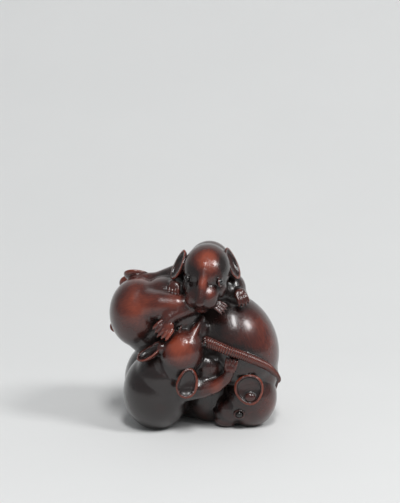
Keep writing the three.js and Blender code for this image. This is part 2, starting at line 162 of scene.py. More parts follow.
heads = {
    "top": {"at": (2.3, -5.0, 33.4), "forward": (-0.16, -0.85, -0.5), "up": (0, -0.5, 0.86), "scale": 1.1},
    "low": {"at": (-2.7, -9.3, 16.8), "forward": (0.48, 0.15, 0.86), "up": (0, -0.98, 0.21), "scale": 0.97},
    "left": {"at": (-8.5, 9.8, 24.9), "forward": (0.57, 0.76, -0.3), "up": (-0.3, 0.2, 0.93), "scale": 0.97},
}

beadEyes = {
    "radius": 0.72,
    "rows": 28,
    "clearance": 0.04,               # between a bead and its socket
    "lidRing": 0.84,                 # from the middle of a bead to its lid
    "lidThickness": 0.2,
    "lidStretch": (1.22, 0.95, 1),   # along the head, across it, and out from it
    "lidRise": 0.12,
}

# Where each bead eye sits, the way it looks, and the way its lids lie
eyeSeats = {
    "eye_right_rat_near": {"at": (9.1, -8.7, 3.6), "looks": (-0.2, -0.95, 0.0), "along": (0.9, -0.1, 0.2)},
    "eye_right_rat_far": {"at": (12.4, 1.6, 2.6), "looks": (0.3, 0.9, -0.2), "along": (0.9, -0.1, 0.2)},
}


def headPlace(head):
    return placeOf(head["at"], head["forward"], head["up"])


def seatEyes():
    for owner, head in heads.items():
        place = headPlace(head)
        for side, sign in (("left", 1), ("right", -1)):
            ahead, out, up = headShape["eyeSeat"]
            seat = Vector((ahead, out * sign, up)) * head["scale"]
            looks = place.to_3x3() @ Vector((0.6, sign, 0.35))
            eyeSeats[f"eye_{owner}_rat_{side}"] = {"at": place @ seat, "looks": looks,
                                                   "along": place.to_3x3() @ Vector((1, 0, 0))}


def makeHead(owner):
    head = heads[owner]
    place, scale = headPlace(head), head["scale"]
    bm = bmesh.new()
    for at, size, paired in headShape["forms"]:
        for sign in (1, -1) if paired else (1,):
            centre = place @ (Vector((at[0], at[1] * sign, at[2])) * scale)
            addBlob(bm, centre, Vector(size) * scale, place.to_3x3().to_4x4())
    addLimb(bm, [(place @ (Vector(at) * scale), r * scale) for at, r in headShape["bridge"]])
    return fused(objectOf(bm, owner + "Head"), carving["voxel"], carving["faceSoftness"])


topRat = {
    "masses": [
        ((3.0, 1.5, 28.6), (6.4, 6.6, 6.2)),      # neck and shoulders
        ((3.5, 7.0, 22.5), (8.0, 7.2, 9.0)),      # back
        ((2.5, 8.0, 12.5), (7.6, 7.4, 8.6)),      # rump
        ((9.4, 8.0, 8.4), (4.2, 5.6, 6.0)),       # right haunch
        ((7.2, -1.0, 28.2), (3.4, 3.6, 3.8)),     # left shoulder
        ((1.0, 4.5, 5.6), (9.0, 8.0, 6.4)),       # belly, down to the base
        ((3.2, 0.0, 6.0), (6.0, 5.4, 6.4)),
        ((0.0, 2.0, 15.0), (9.0, 8.6, 12.0)),     # heart of the block
        ((3.2, 4.2, 26.0), (6.6, 6.6, 5.5)),      # between the shoulders and the back
        ((3.0, 8.4, 17.0), (7.4, 6.9, 6.5)),      # between the back and the rump
    ],
    "limbs": [
        [((7.0, -2.5, 28.0), 2.4), ((9.0, -4.2, 27.0), 1.6), ((9.3, -5.0, 28.3), 1.3)],
        [((0.5, -3.0, 28.0), 2.2), ((-2.5, -4.2, 28.5), 1.7), ((-4.6, -5.2, 30.3), 1.2)],
        [((11.0, 6.0, 3.0), 1.9), ((13.0, 3.2, 1.2), 1.3)],
    ],
}

lowRat = {
    "masses": [
        ((-8.2, -5.0, 7.6), (7.0, 7.6, 8.1)),      # chest and belly
        ((-6.8, -7.0, 11.3), (6.0, 5.6, 5.6)),     # neck
        ((-7.8, 3.0, 8.0), (7.4, 8.0, 8.4)),       # rump
        ((1.6, -7.8, 11.1), (2.3, 2.2, 2.2)),      # shoulder under the chin
        ((-7.0, -9.4, 17.9), (2.2, 1.8, 1.6)),     # root of the left ear
        ((-7.6, -1.6, 15.2), (4.6, 4.6, 3.6)),     # where the two left rats press together
        ((2.4, -7.4, 13.4), (3.6, 2.6, 3.0)),      # between the chin and the arm
    ],
    "limbs": [
        [((-2.5, -8.5, 9.2), 3.0), ((1.2, -9.2, 9.1), 2.0), ((4.2, -10.0, 10.0), 1.5),
         ((6.4, -10.6, 11.8), 1.2), ((7.0, -10.9, 13.3), 1.1)],
        [((-11.4, 9.0, 3.6), 2.2), ((-12.2, 6.6, 1.7), 1.5)],
    ],
}

rightRat = {
    "masses": [
        ((9.2, -1.5, 17.1), (10.6, 8.6, 7.7), (-0.4, 0.19, 0.9)),     # back and flank
        ((4.6, -3.0, 18.8), (5.6, 5.2, 6.2)),                         # rump
        ((12.0, -1.8, 10.6), (5.4, 5.8, 5.6)),                        # neck
    ],
    "limbs": [],
    "face": [
        ((11.4, -3.4, 6.0), (5.7, 5.9, 6.5)),      # skull
        ((7.6, -4.6, 3.9), (3.4, 3.6, 3.4)),       # muzzle
        ((5.6, -4.8, 2.9), (1.9, 1.9, 2.0)),       # whisker pads
        ((6.5, -5.2, 1.6), (2.6, 2.0, 1.7)),       # lower jaw
        ((4.5, -5.0, 3.3), (0.9, 1.0, 0.9)),       # nose
        ((15.2, 0.0, 7.4), (2.0, 2.2, 2.8)),       # root of the far ear
    ],
}

leftRat = {
    "masses": [
        ((-12.2, -2.4, 23.7), (5.9, 7.0, 7.2)),      # haunch
        ((-10.0, -2.0, 20.2), (5.2, 6.0, 5.4)),      # flank
        ((-9.6, 2.6, 22.6), (7.2, 6.4, 7.6)),        # back
        ((-9.0, 6.4, 19.6), (6.6, 5.2, 6.4)),        # chest
        ((-6.0, -2.6, 28.3), (4.6, 4.4, 3.0)),       # loin, up against the top rat
        ((-3.6, -6.6, 23.4), (4.6, 3.0, 3.8)),       # the hollow of the knee
    ],
    "limbs": [
        [((-11.0, -5.0, 25.6), 4.0), ((-7.4, -7.2, 26.2), 3.1),
         ((-3.6, -8.1, 26.5), 2.4), ((-0.5, -7.6, 26.6), 2.0)],
        [((0.3, -8.2, 26.3), 1.2), ((-3.0, -9.4, 25.4), 1.3), ((-5.6, -9.9, 24.3), 1.4)],
        [((-5.6, -9.9, 24.3), 1.4), ((-6.2, -10.1, 22.7), 1.5)],
        [((-12.5, 1.0, 29.0), 2.2), ((-8.0, 1.0, 29.4), 2.1), ((-4.0, 0.5, 30.6), 2.6)],
        [((-5.0, 9.5, 21.0), 2.4), ((-2.5, 13.0, 19.2), 1.6), ((0.2, 14.0, 18.6), 1.2)],
    ],
}


def makeBody(rat, name):
    bm = bmesh.new()
    for centre, size, *along in rat["masses"]:
        turn = axesOf(along[0], (0, 0, 1)) if along else None
        addBlob(bm, centre, size, turn)
    for stations in rat["limbs"]:
        addLimb(bm, stations)
    return fused(objectOf(bm, name), carving["voxel"], carving["fleshSoftness"])


def makeRightFace():
    bm = bmesh.new()
    for centre, size in rightRat["face"]:
        addBlob(bm, centre, size)
    return fused(objectOf(bm, "rightFace"), carving["voxel"], carving["faceSoftness"])


ears = {
    "depth": 1.5,
    "dish": 0.75,      # depth of the hollow
    "wall": 0.55,
    "lift": 0.9,       # how far a hollow is opened above the rim
    "flare": 1.12,     # of a hollow's mouth
    "narrowing": 0.16,  # of the root, against the tip
    "lobe": ((11.3, -9.7, 7.5), (1.2, 0.8, 1.0)),      # the fold inside the right rat's near ear
    # middle of the rim, the way from root to tip, the way the cup opens, length and width
    "each": [
        ((7.7, -4.0, 34.5), (0.35, -0.34, -0.88), (0.84, -0.42, 0.3), 6.9, 4.2),
        ((-3.7, -4.0, 34.2), (-0.38, -0.34, -0.86), (-0.88, -0.36, 0.3), 6.7, 4.2),
        ((-9.6, -10.3, 17.3), (-0.84, -0.21, -0.51), (-0.47, -0.37, 0.8), 6.0, 3.8),
        ((-1.7, -13.4, 11.5), (-0.22, -0.2, -0.95), (0.3, -0.92, 0.25), 6.3, 4.6),
        ((11.1, -9.9, 9.1), (-0.2, 0.11, 0.97), (-0.05, -0.93, 0.35), 6.4, 6.0),
        ((16.4, -0.3, 8.5), (0.1, 0.21, 0.97), (0.89, 0.46, 0.0), 5.4, 4.6),
        ((-12.4, 2.6, 30.7), (-1.0, 0.01, 0.05), (-0.05, 0.62, 0.78), 5.6, 4.2),
        ((-13.8, 9.4, 27.0), (-0.8, -0.2, 0.4), (-0.1, 0.9, 0.4), 5.4, 4.0),
    ],
}


def makeBowl(place, length, width, depth, lift):
    # the lower half of a ball, drawn out to an ear's outline, with its mouth filled flat
    bm = bmesh.new()
    bmesh.ops.create_uvsphere(bm, u_segments=36, v_segments=20, radius=1)
    every = bm.verts[:] + bm.edges[:] + bm.faces[:]
    bmesh.ops.bisect_plane(bm, geom=every, plane_co=(0, 0, 0), plane_no=(0, 0, 1), clear_outer=True)
    rim = [edge for edge in bm.edges if edge.is_boundary]
    if lift:
        raised = bmesh.ops.extrude_edge_only(bm, edges=rim)["geom"]
        mouth = [part for part in raised if isinstance(part, bmesh.types.BMVert)]
        bmesh.ops.scale(bm, vec=(ears["flare"], ears["flare"], 1), verts=mouth)
        bmesh.ops.translate(bm, vec=(0, 0, lift / depth), verts=mouth)
        rim = [edge for edge in bm.edges if edge.is_boundary]
    bmesh.ops.contextual_create(bm, geom=rim)
    for vert in bm.verts:
        vert.co.y *= 1 + ears["narrowing"] * vert.co.x
    bmesh.ops.scale(bm, vec=(length / 2, width / 2, depth), verts=bm.verts)
    bmesh.ops.recalc_face_normals(bm, faces=bm.faces)
    bmesh.ops.transform(bm, matrix=place, verts=bm.verts)
    return objectOf(bm, "bowl")


def makeEars():
    flaps, hollows, openings = [], [], []
    for at, along, opens, length, width in ears["each"]:
        place = placeOf(at, along, opens)
        wall = ears["wall"]
        inner = (length - 2 * wall, width - 2 * wall, ears["dish"], ears["lift"])
        flaps.append(makeBowl(place, length, width, ears["depth"], 0))
        hollows.append(makeBowl(place, *inner))
        openings.append(makeBowl(place, *inner))
    cups = carved(joined(flaps, "cups"), joined(openings, "openings"), "DIFFERENCE")
    return cups, joined(hollows, "hollows")


paws = {
    "palm": (1.3, 1.35, 0.7),
    "palmAhead": 0.6,                       # of the wrist
    "knuckle": (0.5, 0.9, 0.2),             # ahead, share of the gap, up
    "fingerGap": 0.72,
    "fan": 0.12,
    "fingerLength": 2.6,
    "shortening": 0.25,                     # of the outer fingers
    "bends": ((0, 0), (0.45, 0.22), (0.8, 0.15), (1, -0.3)),     # share of the length, and rise
    "radii": (0.36, 0.39, 0.32, 0.18),      # from knuckle to claw
    "voxel": 0.12,
    # wrist, the way the fingers point, the way the back of the paw faces, scale, fingers
    "each": [
        ((4.0, -9.6, 27.2), (0.82, -0.22, -0.53), (0.1, -0.87, 0.49), 0.85, 4),
        ((9.0, -5.6, 28.7), (0.35, -0.29, -0.89), (0.41, -0.78, 0.48), 1.0, 4),
        ((-4.4, -6.0, 30.5), (-0.05, -0.4, -0.92), (-0.31, -0.87, 0.39), 0.95, 4),
        ((7.0, -11.2, 13.5), (0.22, 0.2, 0.95), (-0.1, -0.97, 0.21), 0.95, 4),
        ((-5.5, -10.7, 23.3), (-0.66, -0.16, -0.73), (-0.1, -0.95, 0.3), 1.15, 5),
        ((0.4, 14.2, 18.8), (0.85, 0.1, -0.5), (0.1, 0.95, 0.3), 1.0, 4),
        ((13.2, 3.0, 1.3), (0.3, -0.95, -0.05), (0.3, 0, 0.95), 1.1, 4),
        ((-12.3, 6.4, 1.5), (-0.35, -0.92, -0.05), (-0.3, 0, 0.95), 1.1, 4),
    ],
}


def makePaw(wrist, points, back, size, fingers):
    place = placeOf(wrist, points, back)
    bm = bmesh.new()
    palm = place @ (Vector((paws["palmAhead"], 0, 0)) * size)
    addBlob(bm, palm, Vector(paws["palm"]) * size, place.to_3x3().to_4x4(), rows=24)
    for finger in range(fingers):
        side = finger - (fingers - 1) / 2
        long = paws["fingerLength"] - paws["shortening"] * abs(side)
        spread = paws["fan"] * side / 2
        ahead, share, up = paws["knuckle"]
        root = Vector((ahead, side * paws["fingerGap"] * share, up))
        stations = []
        for (part, rise), radius in zip(paws["bends"], paws["radii"]):
            reach = part * long
            bend = root + Vector((reach, reach * spread, rise))
            stations.append((place @ (bend * size), radius * size))
        addLimb(bm, stations, rows=12)
    return fused(objectOf(bm, "paw"), paws["voxel"], 1)


tails = {
    "pitch": 0.46,      # from ring to ring
    "ring": 0.1,        # height of a ring
    "sides": 20,
    "stepsPerRing": 5,
    # route from root to tip, and the radii at both ends
    "each": [
        ([(2.0, -9.0, 19.1), (3.9, -10.2, 18.7), (6.6, -11.2, 17.8), (9.9, -10.6, 16.5), (12.9, -9.2, 14.9),
          (15.1, -6.9, 13.1), (16.6, -3.8, 10.8), (17.3, -0.5, 8.7), (16.4, 4.5, 7.4)], 1.1, 0.5),
        ([(5.0, 14.6, 9.0), (1.5, 15.6, 12.6), (-3.5, 14.0, 13.8),
          (-8.5, 11.6, 12.2), (-12.6, 9.0, 9.4)], 1.2, 0.55),
        ([(-17.0, 2.0, 19.6), (-16.6, 6.0, 18.6), (-14.4, 9.6, 17.8), (-10.6, 12.6, 17.4)], 1.1, 0.55),
    ],
}


def smoothRoute(points, steps):
    # a Catmull-Rom curve through the points, at even shares of its length
    perSpan = 20
    known = [Vector(p) for p in points]
    known = [known[0] * 2 - known[1], *known, known[-1] * 2 - known[-2]]
    fine = []
    for i in range(1, len(known) - 2):
        a, b, c, d = known[i - 1:i + 3]
        for k in range(perSpan):
            t = k / perSpan
            fine.append(0.5 * (2 * b + (c - a) * t + (2 * a - 5 * b + 4 * c - d) * t * t
                               + (3 * b - a - 3 * c + d) * t ** 3))
    fine.append(known[-2])
    reach = [0]
    for p, q in zip(fine, fine[1:]):
        reach.append(reach[-1] + (q - p).length)
    count = max(2, round(reach[-1] / steps))
    even, j = [], 0
    for k in range(count + 1):
        want = reach[-1] * k / count
        while j < len(fine) - 2 and reach[j + 1] < want:
            j += 1
        even.append(fine[j].lerp(fine[j + 1], (want - reach[j]) / (reach[j + 1] - reach[j])))
    return even


def makeTail(route, thick, thin):
    # one circle pulled along the route, swelling at each ring
    centres = smoothRoute(route, tails["pitch"] / tails["stepsPerRing"])
    bm = bmesh.new()
    bmesh.ops.create_circle(bm, cap_ends=True, segments=tails["sides"], radius=1)
    loop = bm.edges[:]
    shape = [vert.co.copy() for vert in bm.verts]
    side = None
    for k, centre in enumerate(centres):
        ahead = (centres[min(k + 1, len(centres) - 1)] - centres[max(k - 1, 0)]).normalized()
        side = (side - ahead * side.dot(ahead)).normalized() if side else ahead.orthogonal().normalized()
        frameHere = Matrix((side, ahead.cross(side), ahead)).transposed()
        share = k / (len(centres) - 1)
        swell = tails["ring"] * math.cos(2 * math.pi * k / tails["stepsPerRing"])
        radius = thick + (thin - thick) * share + swell
        if k:
            pulled = bmesh.ops.extrude_edge_only(bm, edges=loop)["geom"]
            loop = [part for part in pulled if isinstance(part, bmesh.types.BMEdge)]
            verts = [part for part in pulled if isinstance(part, bmesh.types.BMVert)]
        else:
            verts = bm.verts[:]
        for vert, corner in zip(verts, shape):
            vert.co = centre + frameHere @ (corner * radius)
    bmesh.ops.contextual_create(bm, geom=loop)
    bmesh.ops.recalc_face_normals(bm, faces=bm.faces)
    return objectOf(bm, "tail")


def makeLid(seat):
    # a ring of wood round a bead, longer than it is high
    looks = Vector(seat["looks"]).normalized()
    place = placeOf(seat["at"], seat["along"], looks)
    upright = Matrix.Translation((beadEyes["lidRing"], 0, 0)) @ Matrix.Rotation(math.pi / 2, 4, "X")
    bm = bmesh.new()
    section = bmesh.ops.create_circle(bm, segments=10, radius=beadEyes["lidThickness"], matrix=upright)
    edges = {edge for vert in section["verts"] for edge in vert.link_edges}
    bmesh.ops.spin(bm, geom=section["verts"] + list(edges), cent=(0, 0, 0), axis=(0, 0, 1),
                   angle=2 * math.pi, steps=28, use_merge=True)
    bmesh.ops.remove_doubles(bm, verts=bm.verts, dist=1e-4)
    bmesh.ops.scale(bm, vec=beadEyes["lidStretch"], verts=bm.verts)
    bmesh.ops.translate(bm, vec=(0, 0, beadEyes["lidRise"]), verts=bm.verts)
    bmesh.ops.recalc_face_normals(bm, faces=bm.faces)
    bmesh.ops.transform(bm, matrix=place, verts=bm.verts)
    return objectOf(bm, "lid")


cordHoles = {
    "radius": 3.1,
    "meeting": (-1.5, 6.0, 6.6),               # where the two holes join inside
    "directions": ((0, 0, -1), (0, 1, 0)),     # one opens below, the other behind
    "overlap": 0.6,                            # past the meeting, in radii
    "reach": 22,
    "sides": 48,
}


def makeCordHole(direction):
    way = Vector(direction)
    start = Vector(cordHoles["meeting"]) - way * cordHoles["radius"] * cordHoles["overlap"]
    end = Vector(cordHoles["meeting"]) + way * cordHoles["reach"]
    turn = way.to_track_quat("Z", "Y").to_matrix().to_4x4()
    radius = cordHoles["radius"]
    bm = bmesh.new()
    bmesh.ops.create_cone(bm, cap_ends=True, segments=cordHoles["sides"], radius1=radius, radius2=radius,
                          depth=(end - start).length, matrix=Matrix.Translation((start + end) / 2) @ turn)
    return objectOf(bm, "cordHole")


def makeSockets():
    bm = bmesh.new()
    for seat in eyeSeats.values():
        addBlob(bm, seat["at"], (beadEyes["radius"] + beadEyes["clearance"],) * 3, rows=20)
    return objectOf(bm, "sockets")


sawCut = {"width": 80, "depth": 6}     # what is taken off below the base


def makeSawCut():
    size = Matrix.Diagonal((sawCut["width"], sawCut["width"], sawCut["depth"], 1))
    bm = bmesh.new()
    bmesh.ops.create_cube(bm, size=1, matrix=Matrix.Translation((0, 0, -sawCut["depth"] / 2)) @ size)
    return objectOf(bm, "sawCut")


def makeHuddle():
    bodies = [makeBody(rat, name) for rat, name in
              ((topRat, "top"), (lowRat, "low"), (rightRat, "right"), (leftRat, "left"))]
    faces = [makeHead(owner) for owner in heads] + [makeRightFace()]
    print("four rats modelled")
    huddle = fused(joined(bodies + faces, "rat_huddle"), carving["voxel"], carving["seamSoftness"])
    print("huddle fused:", len(huddle.data.polygons), "faces")
    cups, hollows = makeEars()
    carved(huddle, hollows, "DIFFERENCE")
    lobe = bmesh.new()
    addBlob(lobe, *ears["lobe"], rows=24)
    fine = [cups]
    fine += [makePaw(*paw) for paw in paws["each"]]
    fine += [makeTail(*tail) for tail in tails["each"]]
    fineParts = joined(fine, "fineParts")
    fineTree = treeOf(fineParts)
    carved(huddle, fineParts, "UNION")
    lids = [objectOf(lobe, "lobe")]
    lids += [makeLid(seat) for seat in eyeSeats.values()]
    carved(huddle, joined(lids, "lids"), "UNION")
    carved(huddle, makeSockets(), "DIFFERENCE")
    for direction in cordHoles["directions"]:
        carved(huddle, makeCordHole(direction), "DIFFERENCE")
    carved(huddle, makeSawCut(), "DIFFERENCE")
    print("ears, paws, tails, lids and holes carved:", len(huddle.data.polygons), "faces")
    return huddle, fineTree


def treeOf(piece):
    bm = bmesh.new()
    bm.from_mesh(piece.data)
    tree = BVHTree.FromBMesh(bm)
    bm.free()
    return tree


def makeEye(seat, name):
    bm = bmesh.new()
    addBlob(bm, seat["at"], (beadEyes["radius"],) * 3, rows=beadEyes["rows"])
    return objectOf(bm, name)


def thinned(piece):
    triangles = sum(len(face.vertices) - 2 for face in piece.data.polygons)
    if triangles > carving["mostFaces"]:
        thin = piece.modifiers.new("thin", "DECIMATE")
        thin.ratio = carving["mostFaces"] / triangles
        applied(piece)
    print("huddle thinned:", triangles, "->", len(piece.data.polygons))
    return piece


# Above zero where hands have rubbed the stain off; below zero the wood is darkened, as painted shade on the low
# rat's lower body and as darker sides to the top rat's head: place, reach, how much
wearAndShade = {
    "patches": [
        ((2.5, -9.0, 36.3), 2.6, 1.0), ((1.6, -12.2, 32.4), 1.7, 1.0), ((3.5, -12.3, 30.4), 1.3, 0.8),
        ((-1.3, -9.6, 33.0), 2.2, -0.7), ((6.0, -8.2, 35.2), 2.0, -0.6),
        ((-12.0, -8.5, 26.3), 4.2, 0.65), ((-4.2, -9.2, 27.6), 3.0, 0.55), ((-11.0, -2.0, 31.0), 3.0, 0.5),
        ((-3.8, -13.0, 19.2), 3.4, 0.85), ((0.8, -11.5, 23.3), 2.2, 0.9),
        # painted shade: the low rat's lower body, turned away from the lights, darkened
        ((-9.0, -10.0, 7.0), 6.5, -0.8), ((-14.0, -3.0, 8.0), 5.0, -0.4),
        ((13.9, -7.0, 22.3), 4.2, 0.42), ((15.5, -6.0, 16.0), 3.5, 0.25), ((15.0, -6.0, 5.4), 3.0, 0.3),
        ((4.0, -12.0, 10.5), 2.8, 0.6),
        ((-7.0, 13.0, 27.5), 3.2, 0.7), ((3.0, 15.0, 14.0), 6.0, 0.5), ((4.0, 13.5, 25.0), 5.0, 0.55),
        ((13.0, 10.0, 9.0), 4.0, 0.5), ((-13.0, 8.0, 9.0), 4.5, 0.45), ((-15.5, 2.0, 25.0), 4.0, 0.5),
    ],
    "everywhere": 0.12,
    "onEdges": 1.8,       # how much a ridge is rubbed, for each millimetre that it stands out
    # how far recesses are darkened: stain left in the hollows, with painted shade in the creases between the
    # rats
    "stainAndShadeInRecesses": 0.35,
    "onFineParts": 0.22,  # on ears, paws and tails
    "dustOnFineParts": 0.4,
    "feel": 7.0,          # how far a recess is felt for
    "feelFrom": 0.12,     # above the wood
    "fading": 0.6,        # of what lies at the end of that reach
    "smoothing": 0.53,    # how broad a ridge still counts
    "widerBy": 10,        # for the broad forms
    "wideForms": 0.12,    # how much those count
    "patchEnd": 2.2,      # in reaches
    "fineReach": 0.05,
}

# Which way the hair lies: middle of each form, its reach, the direction
hairLies = [
    ((2.3, -5.0, 33.4), 6.0, (-0.16, -0.85, -0.5)), ((3.5, 7.0, 22.0), 9.0, (0.2, 0.3, -0.9)),
    ((2.5, 8.0, 10.0), 9.0, (0.1, 0.4, -0.9)), ((-2.7, -9.3, 16.8), 5.5, (0.48, 0.15, 0.86)),
    ((-8.2, -4.0, 8.0), 8.5, (-0.3, 0.2, -0.9)), ((9.2, -1.5, 17.1), 9.0, (-0.4, 0.19, 0.9)),
    ((11.4, -3.4, 6.0), 6.0, (-0.85, -0.2, -0.4)), ((-12.2, -2.4, 23.7), 7.0, (0.8, -0.3, 0.3)),
    ((-8.5, 9.8, 24.9), 6.0, (0.57, 0.76, -0.3)),
]


def softened(piece, passes):
    twin = piece.copy()
    twin.data = piece.data.copy()
    bpy.context.scene.collection.objects.link(twin)
    addSmoothing(twin, passes)
    places = [vert.co.copy() for vert in applied(twin).data.vertices]
    bpy.data.objects.remove(twin)
    return places


def feelers():
    # directions spread evenly over a half ball
    turn = math.pi * (3 - math.sqrt(5))
    ways = []
    for k in range(carving["rays"]):
        up = 1 - (k + 0.5) / carving["rays"] * 0.92
        flat = math.sqrt(1 - up * up)
        ways.append(Vector((flat * math.cos(turn * k), flat * math.sin(turn * k), up)))
    return ways


def markWearAndShade(piece, fineTree):
    mesh = piece.data
    tree = treeOf(piece)
    ways = feelers()
    passes = wearAndShade["smoothing"] / carving["voxel"] ** 2
    near = softened(piece, round(passes))
    far = softened(piece, round(wearAndShade["widerBy"] * passes))
    flows = []
    for at, reach, way in hairLies:
        flows.append((Vector(at), reach, axesOf(way, (0.1, 0.2, 1)).to_3x3().inverted()))
    rubbedLessShade, hollow, hair = [], [], []
    for i, vert in enumerate(mesh.vertices):
        place, normal = vert.co, vert.normal
        turn = normal.to_track_quat("Z", "Y")
        shut = 0
        for way in ways:
            hit = tree.ray_cast(place + normal * wearAndShade["feelFrom"], turn @ way, wearAndShade["feel"])[3]
            if hit is not None:
                shut += 1 - wearAndShade["fading"] * hit / wearAndShade["feel"]
        shut /= len(ways)
        ridge = (place - near[i]).dot(normal) + wearAndShade["wideForms"] * (place - far[i]).dot(normal)
        # shut places are darkened: partly stain kept in the hollows, partly painted shade in the creases
        amount = wearAndShade["everywhere"] + wearAndShade["onEdges"] * ridge - wearAndShade["stainAndShadeInRecesses"] * shut
        for at, reach, strength in wearAndShade["patches"]:
            away = (place - Vector(at)).length / reach
            if away < wearAndShade["patchEnd"]:
                amount += strength * math.exp(-away * away)
        if fineTree.find_nearest(place, wearAndShade["fineReach"])[0] is not None:
            amount += wearAndShade["onFineParts"]
            shut *= wearAndShade["dustOnFineParts"]
        rubbedLessShade.append(min(1, max(0, amount)))
        hollow.append(shut)
        flow = min(flows, key=lambda known: (place - known[0]).length / known[1])
        hair.extend(flow[2] @ place)
    # the rubbed mark holds the wear of the wood, lowered where painted shade darkens it
    marks = (
        ("rubbedLessShade", "FLOAT", rubbedLessShade, "value"),
        ("hollow", "FLOAT", hollow, "value"),
        ("hair", "FLOAT_VECTOR", hair, "vector"),
    )
    for name, kind, values, key in marks:
        mesh.attributes.new(name, kind, "POINT").data.foreach_set(key, values)
    print("wear and recesses marked on", len(rubbedLessShade), "points")


def placedInFrame(pieces):
    # scaled to metres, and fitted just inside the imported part's box
    inside = 0.9985
    low = Vector([min(vert.co[k] for vert in pieces[0].data.vertices) for k in range(3)])
    high = Vector([max(vert.co[k] for vert in pieces[0].data.vertices) for k in range(3)])
    cadLow, cadHigh = Vector(cadBox[0]), Vector(cadBox[1])
    size = [min(0.001, inside * (cadHigh[k] - cadLow[k]) / (high[k] - low[k])) for k in range(3)]
    middle = Vector(((low.x + high.x) / 2, (low.y + high.y) / 2, low.z))
    target = Vector(((cadLow.x + cadHigh.x) / 2, (cadLow.y + cadHigh.y) / 2, cadLow.z))
    place = Matrix.Translation(target) @ Matrix.Diagonal((*size, 1)) @ Matrix.Translation(-middle)
    for piece in pieces:
        piece.data.transform(place)
        piece.data.polygons.foreach_set("use_smooth", [True] * len(piece.data.polygons))


boxwood = {
    "stain": (0.012, 0.0065, 0.006),
    "redBrown": (0.07, 0.0125, 0.008),
    "rubbedLessShade": (0.27, 0.05, 0.023),
    "dust": (0.034, 0.026, 0.023),
    "roughness": 0.23,
    "recessRoughness": 0.62,
    "polish": 0.55,
    "polishRoughness": 0.14,
    "hairAcross": 4.2,      # strokes in a millimetre
    "hairAlong": 0.55,
    "hairHeight": 0.0001,
    "hairStrength": 0.55,
    "mottle": 420,
    "mottleOnStain": 0.5,
    "hairOnStain": 0.35,
    "mottleOnDust": 0.3,
    "dustStarts": 0.42,     # how shut in a place is before dust lies there
}


def newMaterial(name):
    material = bpy.data.materials.new(name)
    material.use_nodes = True
    nodes = material.node_tree.nodes
    return material, nodes, material.node_tree.links, nodes["Principled BSDF"]


def rampNode(nodes, stops):
    ramp = nodes.new("ShaderNodeValToRGB")
    while len(ramp.color_ramp.elements) < len(stops):
        ramp.color_ramp.elements.new(0.5)
    for element, (position, colour) in zip(ramp.color_ramp.elements, stops):
        element.position = position
        element.color = (*colour, 1)
    return ramp


def makeBoxwood():
    material, nodes, links, shader = newMaterial("stainedBoxwood")

    def attribute(name):
        node = nodes.new("ShaderNodeAttribute")
        node.attribute_name = name
        return node

    def noiseOf(vector, scale, detail):
        node = nodes.new("ShaderNodeTexNoise")
        node.inputs["Scale"].default_value = scale
        node.inputs["Detail"].default_value = detail
        links.new(vector, node.inputs["Vector"])
        return node.outputs["Fac"]

    def varied(base, extra, share, offset):
        # base + share * extra + offset, kept between 0 and 1
        node = nodes.new("ShaderNodeMath")
        node.operation = "MULTIPLY_ADD"
        node.inputs[1].default_value = share
        links.new(extra, node.inputs[0])
        links.new(base, node.inputs[2])
        moved = nodes.new("ShaderNodeMath")
        moved.inputs[1].default_value = offset
        moved.use_clamp = True
        links.new(node.outputs[0], moved.inputs[0])
        return moved.outputs[0]

    where = nodes.new("ShaderNodeTexCoord").outputs["Object"]
    mottle = noiseOf(where, boxwood["mottle"], 5)
    strokes = nodes.new("ShaderNodeMapping")
    across = boxwood["hairAcross"]
    strokes.inputs["Scale"].default_value = (boxwood["hairAlong"], across, across)
    links.new(attribute("hair").outputs["Vector"], strokes.inputs["Vector"])
    hair = noiseOf(strokes.outputs["Vector"], 1, 3)
    share = boxwood["mottleOnStain"]
    # the rubbed mark is high where the stain is rubbed off, and low where stain lies and where painted shade
    # darkens the wood
    rubbedLessShade = varied(attribute("rubbedLessShade").outputs["Fac"], mottle, share, -share / 2)
    share = boxwood["hairOnStain"]
    rubbedLessShade = varied(rubbedLessShade, hair, share, -share / 2)
    stops = [(0.06, boxwood["stain"]), (0.45, boxwood["redBrown"]), (1.0, boxwood["rubbedLessShade"])]
    colour = rampNode(nodes, stops)
    links.new(rubbedLessShade, colour.inputs["Fac"])
    hollow = varied(attribute("hollow").outputs["Fac"], mottle, boxwood["mottleOnDust"], -boxwood["dustStarts"])
    dusty = nodes.new("ShaderNodeMix")
    dusty.data_type = "RGBA"
    links.new(hollow, dusty.inputs["Factor"])
    links.new(colour.outputs["Color"], dusty.inputs["A"])
    dusty.inputs["B"].default_value = (*boxwood["dust"], 1)
    links.new(dusty.outputs["Result"], shader.inputs["Base Color"])
    gloss = nodes.new("ShaderNodeMapRange")
    gloss.inputs["To Min"].default_value = boxwood["roughness"]
    gloss.inputs["To Max"].default_value = boxwood["recessRoughness"]
    links.new(varied(hollow, hair, 0.25, -0.1), gloss.inputs["Value"])
    links.new(gloss.outputs["Result"], shader.inputs["Roughness"])
    shader.inputs["Coat Weight"].default_value = boxwood["polish"]
    shader.inputs["Coat Roughness"].default_value = boxwood["polishRoughness"]
    bump = nodes.new("ShaderNodeBump")
    bump.inputs["Strength"].default_value = boxwood["hairStrength"]
    bump.inputs["Distance"].default_value = boxwood["hairHeight"]
    links.new(hair, bump.inputs["Height"])
    links.new(bump.outputs["Normal"], shader.inputs["Normal"])
    return material


def makeHorn():
    material, nodes, links, shader = newMaterial("blackHorn")
    streaks = nodes.new("ShaderNodeTexNoise")
    streaks.inputs["Scale"].default_value = 1500
    links.new(nodes.new("ShaderNodeTexCoord").outputs["Object"], streaks.inputs["Vector"])
    colour = rampNode(nodes, [(0.35, (0.002, 0.002, 0.002)), (0.75, (0.012, 0.009, 0.008))])
    links.new(streaks.outputs["Fac"], colour.inputs["Fac"])
    links.new(colour.outputs["Color"], shader.inputs["Base Color"])
    shader.inputs["Roughness"].default_value = 0.07
    shader.inputs["Coat Weight"].default_value = 0.6
    return material


